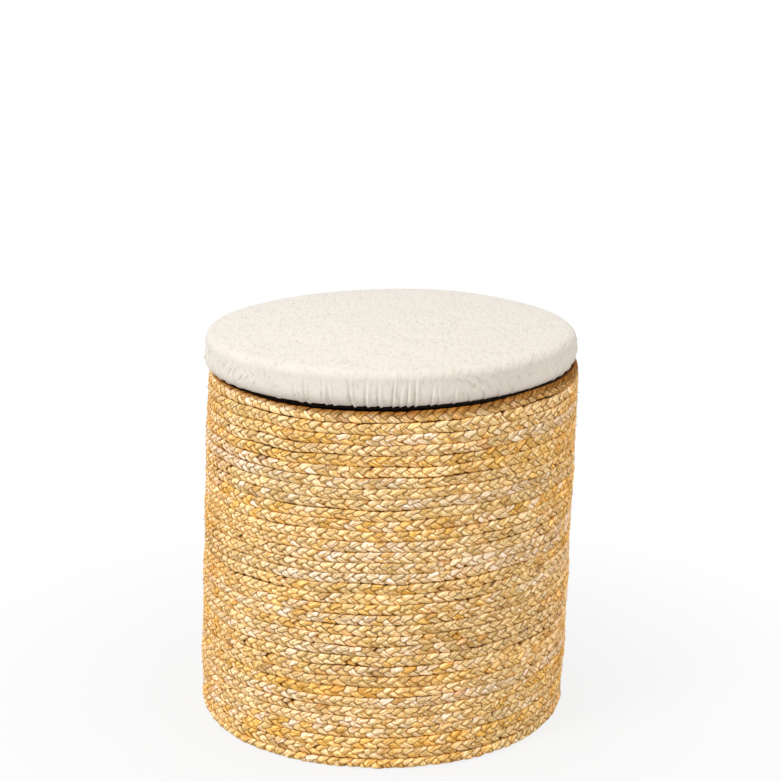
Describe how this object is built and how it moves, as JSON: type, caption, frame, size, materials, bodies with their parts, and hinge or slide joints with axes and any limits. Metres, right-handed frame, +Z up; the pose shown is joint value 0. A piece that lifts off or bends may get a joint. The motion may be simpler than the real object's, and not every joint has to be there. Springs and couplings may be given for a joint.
{
  "type": "storage stool",
  "caption": "Round storage stool with a straight wall of coiled, stitched natural-fibre plait, a cotton lining and a padded lift-off lid under a gathered cloth cover.",
  "frame": {"origin": "on the floor, at the centre of the wall's foot", "axes": "+Z up along the stool's axis, -Y towards the side that the picture shows"},
  "size_m": [0.4037, 0.4037, 0.4206],
  "materials": {
    "plait": "dry plant fibre",
    "wire": "satin black paint",
    "board": "raw fibreboard",
    "lining": "plain cotton",
    "cover": "slubbed cotton and linen",
    "foam": "open-cell foam",
    "elastic": "woven elastic",
    "screw": "bright zinc"
  },
  "bodies": {
    "basket": {"plait_wall": "plait", "plait_base": "plait", "frame_bottom_ring": "wire", "frame_middle_ring": "wire", "frame_top_ring": "wire", "frame_upright_1": "wire", "frame_upright_2": "wire", "frame_upright_3": "wire", "frame_upright_4": "wire", "frame_upright_5": "wire", "frame_upright_6": "wire", "frame_lower_bar": "wire", "frame_upper_bar": "wire", "base_board": "board", "lining_base": "lining", "lining_wall": "lining"},
    "lid": {"lid_board": "board", "lid_foam": "foam", "lid_cover": "cover", "hem_elastic": "elastic", "lid_under_cloth": "lining", "locating_disc": "board", "disc_screw_1": "screw", "disc_screw_2": "screw", "disc_screw_3": "screw", "disc_screw_4": "screw"}
  },
  "joints": [
    {"name": "lid_lift", "type": "slide", "parent": "basket", "child": "lid", "axis": [0, 0, 1], "range_m": [0, 0.42]}
  ]
}
